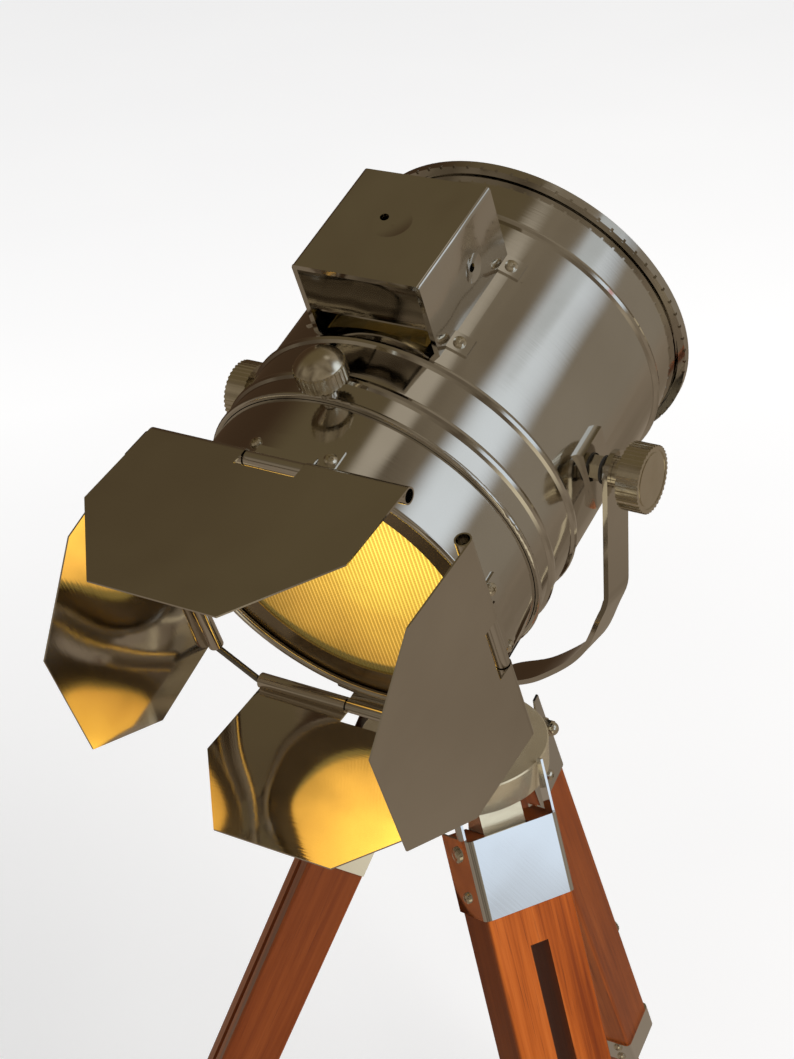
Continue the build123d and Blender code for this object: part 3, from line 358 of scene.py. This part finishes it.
def ribbed_lens(material):
    # A disc whose front face carries upright ribs.
    bm = bmesh.new()
    profile = [(0.0, 0.0), (0.25, 0.7), (0.5, 1.0), (0.75, 0.7)]
    stations = []
    count = int(LENS_R / RIB_PITCH) + 1
    for i in range(-count, count):
        for share, rise in profile:
            x = (i + share) * RIB_PITCH
            if abs(x) < LENS_R - RIB_MARGIN:
                stations.append((x, rise * RIB_DEPTH))
    rows = []
    for x, rise in stations:
        half = math.sqrt(LENS_R * LENS_R - x * x)
        front = LENS_FRONT + RIB_DEPTH - rise
        fronts = [bm.verts.new((x, front, z)) for z in (-half, 0.0, half)]
        backs = [bm.verts.new((x, LENS_BACK, z)) for z in (-half, half)]
        rows.append((fronts, backs))
    for (f0, b0), (f1, b1) in zip(rows, rows[1:]):
        bm.faces.new((f0[0], f1[0], f1[1], f0[1]))
        bm.faces.new((f0[1], f1[1], f1[2], f0[2]))
        bm.faces.new((b0[0], b0[1], b1[1], b1[0]))
        bm.faces.new((f0[2], f1[2], b1[1], b0[1]))
        bm.faces.new((f0[0], b0[0], b1[0], f1[0]))
    for fronts, backs in (rows[0], rows[-1]):
        bm.faces.new((*fronts, backs[1], backs[0]))
    bmesh.ops.recalc_face_normals(bm, faces=bm.faces)
    bm.transform(HEAD)
    made = mesh_object("ribbed_lens", bm, material, 50)
    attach(made, "barrel")
    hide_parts("lens")


# Camera
def make_camera():
    azimuth, elevation, roll = (math.radians(angle) for angle in CAMERA_ANGLES)
    forward = Vector((
        -math.sin(azimuth) * math.cos(elevation),
        math.cos(azimuth) * math.cos(elevation),
        -math.sin(elevation),
    ))
    right = Vector((math.cos(azimuth), math.sin(azimuth), 0.0))
    up = right.cross(forward)
    side = right * math.cos(roll) + up * math.sin(roll)
    over = up * math.cos(roll) - right * math.sin(roll)
    data = bpy.data.cameras.new("camera")
    data.sensor_width = SENSOR
    data.lens = CAMERA_FOCAL_PIXELS * SENSOR / FRAME_HEIGHT_PIXELS
    data.clip_start = 0.05
    data.clip_end = 60.0
    camera = bpy.data.objects.new("camera", data)
    bpy.context.scene.collection.objects.link(camera)
    columns = Matrix((side, over, -forward)).transposed().to_4x4()
    camera.matrix_world = Matrix.Translation(CAMERA_PLACE) @ columns
    bpy.context.scene.camera = camera


# Floor, studio room that the metal mirrors, lamps and world
def direction(azimuth, elevation):
    # Degrees, with azimuth running from +Y towards +X.
    a = math.radians(azimuth)
    e = math.radians(elevation)
    return Vector((math.sin(a) * math.cos(e), math.cos(a) * math.cos(e), math.sin(e)))


def seen_directly(tree):
    # One for rays from the camera, a mirror or through glass, and zero for light on the object.
    path = tree.nodes.new("ShaderNodeLightPath")
    seen = path.outputs["Is Camera Ray"]
    for name in ("Is Glossy Ray", "Is Transmission Ray"):
        larger = tree.nodes.new("ShaderNodeMath")
        larger.operation = "MAXIMUM"
        tree.links.new(seen, larger.inputs[0])
        tree.links.new(path.outputs[name], larger.inputs[1])
        seen = larger.outputs["Value"]
    return seen


def make_floor():
    p = Paint("floor_pale")
    tone = p.noise(p.object, 1.2, 3.0, 0.5)
    colour = p.ramp(tone, [(0.3, (0.80, 0.80, 0.81)), (0.7, (0.84, 0.84, 0.845))])
    p.put(colour=colour, rough=0.75)
    lift = p.node("ShaderNodeEmission")
    lift.inputs["Color"].default_value = (1.0, 1.0, 1.0, 1.0)
    # The floor is lifted paler farther away and less near the tripod, which paints shade around its
    # base; this lift sheds no light on the object.
    x, y, _ = p.parts(p.object)
    lift_with_painted_shade_near = p.spread(p.reach(x, y), 0.3, 2.2, 0.17, 0.50)
    p.link(p.math("MULTIPLY", seen_directly(p.tree), lift_with_painted_shade_near), lift.inputs["Strength"])
    both = p.node("ShaderNodeAddShader")
    p.link(p.shader.outputs["BSDF"], both.inputs[0])
    p.link(lift.outputs["Emission"], both.inputs[1])
    out = p.tree.nodes["Material Output"]
    p.tree.links.new(both.outputs["Shader"], out.inputs["Surface"])
    bm = bmesh.new()
    bmesh.ops.create_circle(bm, cap_ends=True, segments=96, radius=FLOOR_R)
    floor = mesh_object("studio_floor", bm, p.mat)


def make_room():
    # A soft brown room with pale windows, seen only as a reflection in the metal.
    p = Paint("room_tones")
    away = p.node("ShaderNodeVectorMath", operation="SUBTRACT")
    p.link(p.object, away.inputs[0])
    away.inputs[1].default_value = (0.0, 0.0, ROOM_CENTRE_Z)
    unit = p.node("ShaderNodeVectorMath", operation="NORMALIZE")
    p.link(away.outputs["Vector"], unit.inputs[0])
    d = unit.outputs["Vector"]
    height = p.parts(d)[2]
    cloud = p.noise(d, 1.7, 3.0, 0.5, 0.6)
    wall = p.ramp(cloud, [
        (0.34, (0.095, 0.072, 0.048)),
        (0.50, (0.205, 0.168, 0.118)),
        (0.66, (0.270, 0.226, 0.165)),
    ])
    patches = p.noise(d, 2.6, 2.0, 0.5)
    ground = p.ramp(patches, [(0.3, (0.20, 0.158, 0.112)), (0.7, (0.29, 0.235, 0.175))])
    colour = p.mix(p.spread(height, -0.10, -0.30), wall, ground)
    # Each lobe is its direction, the cosines at which it starts and is full, and its colour.
    lobes = [
        (direction(-72, 56), 0.60, 0.92, (0.128, 0.098, 0.052)),
        (direction(-62, 2), 0.62, 0.93, (0.058, 0.034, 0.018)),
        (direction(46, 2), 0.88, 0.97, (0.270, 0.232, 0.180)),
        (direction(71, 34), 0.925, 0.993, (0.86, 0.94, 1.02)),
        (direction(51, 40), 0.9910, 0.9985, (0.56, 0.60, 0.62)),
        (direction(98, 14), 0.955, 0.985, (0.82, 0.93, 1.05)),
        (direction(93, 17), 0.9990, 0.9996, (0.70, 0.36, 0.34)),
        (direction(147, -34), 0.900, 0.975, (0.78, 0.69, 0.50)),
        (direction(34, 74), 0.985, 0.9985, (0.46, 0.41, 0.33)),
    ]
    for aim, outer, inner, tint in lobes:
        dot = p.node("ShaderNodeVectorMath", operation="DOT_PRODUCT")
        p.link(d, dot.inputs[0])
        dot.inputs[1].default_value = aim
        near = p.node("ShaderNodeMapRange", interpolation_type="SMOOTHSTEP")
        p.link(dot.outputs["Value"], near.inputs["Value"])
        near.inputs["From Min"].default_value = outer
        near.inputs["From Max"].default_value = inner
        colour = p.mix(near.outputs["Result"], colour, tint)
    glow = p.node("ShaderNodeEmission")
    p.link(colour, glow.inputs["Color"])
    out = p.tree.nodes["Material Output"]
    p.tree.links.new(glow.outputs["Emission"], out.inputs["Surface"])
    bm = bmesh.new()
    bmesh.ops.create_icosphere(bm, subdivisions=5, radius=ROOM_R)
    for vertex in bm.verts:
        vertex.co.z = max(vertex.co.z + ROOM_CENTRE_Z, ROOM_FLOOR_Z)
    room = mesh_object("studio_room", bm, p.mat)
    room.visible_camera = False
    room.visible_diffuse = False
    room.visible_transmission = False
    room.visible_volume_scatter = False
    room.visible_shadow = False


def make_lamp(name, place, size, power, tint):
    # A soft round lamp aimed at the upper part of the tripod.
    data = bpy.data.lights.new(name, "AREA")
    data.shape = "DISK"
    data.size = size
    data.energy = power
    data.color = tint
    lamp = bpy.data.objects.new(name, data)
    bpy.context.scene.collection.objects.link(lamp)
    lamp.location = place
    aim = LAMP_TARGET - Vector(place)
    lamp.rotation_euler = aim.to_track_quat("-Z", "Y").to_euler()
    lamp.visible_glossy = False
    lamp.visible_camera = False


def make_world():
    world = bpy.data.worlds.new("studio")
    bpy.context.scene.world = world
    world.use_nodes = True
    tree = world.node_tree
    back = tree.nodes["Background"]
    level = tree.nodes.new("ShaderNodeMapRange")
    tree.links.new(seen_directly(tree), level.inputs["Value"])
    level.inputs["To Min"].default_value = AMBIENT
    level.inputs["To Max"].default_value = 1.0
    tree.links.new(level.outputs["Result"], back.inputs["Strength"])
    back.inputs["Color"].default_value = (1.0, 1.0, 1.0, 1.0)


bpy.context.scene.view_settings.view_transform = "Standard"
make_camera()
make_world()
make_floor()
make_room()
make_lamp("key_lamp", (3.0, -1.1, 3.0), 2.4, 175.0, (1.0, 0.985, 0.96))
make_lamp("fill_lamp", (-2.2, -2.6, 3.2), 2.6, 12.0, (0.97, 0.985, 1.0))

# Materials on the CAD nodes
chrome = sheet_metal("chrome_sheet", (0.60, 0.57, 0.52), (0.68, 0.655, 0.61), rough=0.045)
leaf_metal = sheet_metal(
    "leaf_sheet", (0.58, 0.545, 0.49), (0.66, 0.63, 0.575),
    rough=0.085, wave=0.0016, smudge=0.07, lines=0.4,
)
# The bottom and left leaves are bowed more and get a lighter tint than the top and right ones of the
# same metal: painted brightness on that copy.
bowed_brightened_leaf = sheet_metal(
    "leaf_bowed", (0.62, 0.575, 0.51), (0.70, 0.66, 0.60),
    rough=0.055, wave=0.0105, smudge=0.06, lines=0.4, size=6.5,
)
dented = sheet_metal(
    "vent_sheet", (0.60, 0.57, 0.52), (0.68, 0.655, 0.61),
    rough=0.05, wave=0.0030, smudge=0.08, lines=0.25, size=20.0,
)
polished = sheet_metal(
    "bracket_sheet", (0.76, 0.765, 0.77), (0.86, 0.86, 0.865),
    rough=0.04, wave=0.0014, smudge=0.05, lines=0.2, size=14.0,
)
nickel = solid_metal("nickel_turned", (0.68, 0.63, 0.52), (0.80, 0.755, 0.65), rough=0.13)
bronze = solid_metal("bezel_brown", (0.29, 0.235, 0.160), (0.37, 0.305, 0.215), rough=0.18)
steel = solid_metal("wire_steel", (0.16, 0.15, 0.135), (0.26, 0.25, 0.23), rough=0.22)
mirror = solid_metal("mirror_inside", (0.80, 0.76, 0.62), (0.88, 0.84, 0.70), rough=0.12)
black = plain_paint(
    "vent_black", (0.006, 0.006, 0.006), (0.014, 0.013, 0.012), rough=0.38, grain=500.0, depth=0.00005
)
dark = plain_paint(
    "washer_dark", (0.030, 0.028, 0.026), (0.060, 0.056, 0.050), rough=0.48, grain=400.0, depth=0.00005
)
ceramic = plain_paint(
    "ceramic_white", (0.66, 0.63, 0.57), (0.76, 0.73, 0.67), rough=0.30, grain=250.0, depth=0.00004
)
rubber = plain_paint(
    "foot_rubber", (0.012, 0.012, 0.012), (0.026, 0.026, 0.026), rough=0.62, grain=350.0, depth=0.00010
)
finish_nodes(chrome, [
    "drum_shell", "rear_cap", "barrel", "hinge_clips", "yoke", "pan_post", "pivot_plates",
    "lens_retainer",
])
finish_nodes(leaf_metal, ["leaf_top", "leaf_right"])
finish_nodes(bowed_brightened_leaf, ["leaf_bottom", "leaf_left"])
finish_nodes(dented, ["vent_box", "vent_baffle"])
finish_nodes(nickel, [
    "vent_screws", "pivot_studs", "pivot_nuts", "clip_screws", "pan_bolt", "tilt_knob_left",
    "tilt_knob_right", "thumb_screw",
])
finish_nodes(brushed_disc(), ["hub_disc"])
finish_nodes(black, ["bottom_vent"])
finish_nodes(dark, ["pivot_washers", "pan_washer", "cable_gland"])
finish_nodes(bronze, ["bezel_ring"])
finish_nodes(steel, ["hinge_frame"])
finish_nodes(mirror, ["reflector"])
finish_nodes(ceramic, ["lamp_holder"])
finish_nodes(lit_bulb(), ["bulb"])
leg_fittings = ("hinge_bolt_", "bracket_screws_", "clamp_bolt_", "clamp_knob_")
for tag in LEG_AZIMUTHS:
    finish_nodes(wood(tag), ["upper_leg_" + tag, "inner_leg_" + tag])
    finish_nodes(polished, ["leg_bracket_" + tag, "end_band_" + tag])
    finish_nodes(nickel, [part + tag for part in leg_fittings])
    finish_nodes(rubber, ["foot_" + tag])

# Pieces that stand for CAD nodes
ribbed_lens(glowing_lens())
